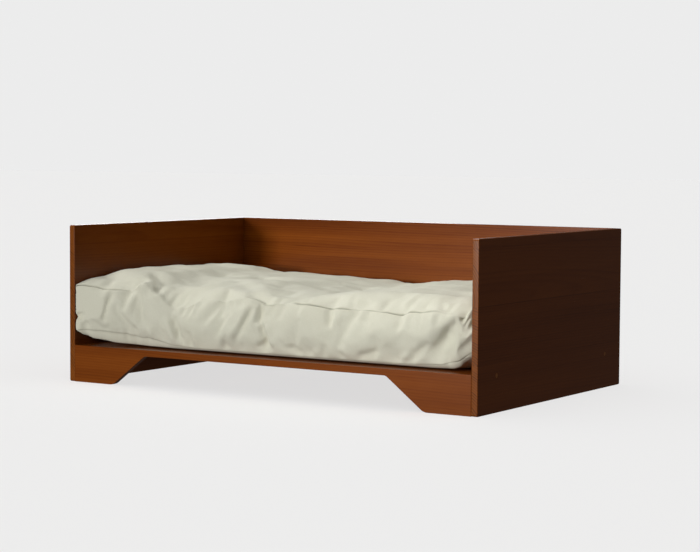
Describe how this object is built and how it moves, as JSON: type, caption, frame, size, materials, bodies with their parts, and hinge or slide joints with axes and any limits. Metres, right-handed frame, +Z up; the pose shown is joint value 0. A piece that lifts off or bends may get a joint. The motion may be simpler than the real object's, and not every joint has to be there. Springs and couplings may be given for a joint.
{
  "type": "dog bed",
  "caption": "Open-fronted dog bed of solid stained boards: two side panels, a back panel and a low arched front rail around a platform with a removable boxed cushion.",
  "frame": {"origin": "on the floor, under the middle of the frame", "axes": "+X along the bed's length, towards the right side panel; +Y to the back panel; +Z up"},
  "size_m": [1.1, 0.7, 0.37],
  "materials": {
    "stained_wood": "satin",
    "plain_wood": "matte",
    "screw_steel": "satin",
    "cover_canvas": "matte",
    "lining_cloth": "matte",
    "zip_tape_cloth": "matte",
    "zip_metal": "satin"
  },
  "bodies": {
    "frame": {"left_side_panel": "stained_wood", "right_side_panel": "stained_wood", "back_panel": "stained_wood", "front_rail": "stained_wood", "platform_board": "stained_wood", "batten_left": "plain_wood", "batten_right": "plain_wood", "dowel_back_left_1": "plain_wood", "dowel_back_left_2": "plain_wood", "dowel_back_left_3": "plain_wood", "dowel_back_left_4": "plain_wood", "dowel_rail_left_1": "plain_wood", "dowel_rail_left_2": "plain_wood", "dowel_platform_left_1": "plain_wood", "dowel_platform_left_2": "plain_wood", "dowel_back_right_1": "plain_wood", "dowel_back_right_2": "plain_wood", "dowel_back_right_3": "plain_wood", "dowel_back_right_4": "plain_wood", "dowel_rail_right_1": "plain_wood", "dowel_rail_right_2": "plain_wood", "dowel_platform_right_1": "plain_wood", "dowel_platform_right_2": "plain_wood", "dowel_platform_front_1": "plain_wood", "dowel_platform_back_1": "plain_wood", "dowel_platform_front_2": "plain_wood", "dowel_platform_back_2": "plain_wood", "dowel_platform_front_3": "plain_wood", "dowel_platform_back_3": "plain_wood", "dowel_platform_front_4": "plain_wood", "dowel_platform_back_4": "plain_wood", "platform_screw_left_front": "screw_steel", "platform_screw_left_back": "screw_steel", "platform_screw_right_front": "screw_steel", "platform_screw_right_back": "screw_steel", "plug_left_front": "stained_wood", "plug_left_back": "stained_wood", "plug_right_front": "stained_wood", "plug_right_back": "stained_wood", "batten_screw_left_1": "screw_steel", "batten_screw_left_2": "screw_steel", "batten_screw_left_3": "screw_steel", "batten_screw_right_1": "screw_steel", "batten_screw_right_2": "screw_steel", "batten_screw_right_3": "screw_steel"},
    "cushion": {"cushion_cover": "cover_canvas", "cushion_insert": "lining_cloth", "zip_tape": "zip_tape_cloth"},
    "zip_slider": {"zip_slider": "zip_metal"}
  },
  "joints": [
    {"name": "cushion_lift", "type": "slide", "parent": "frame", "child": "cushion", "axis": [0, 0, 1], "range_m": [0, 0.3]},
    {"name": "zip_slide", "type": "slide", "parent": "cushion", "child": "zip_slider", "axis": [-1, 0, 0], "range_m": [0, 0.855]}
  ]
}
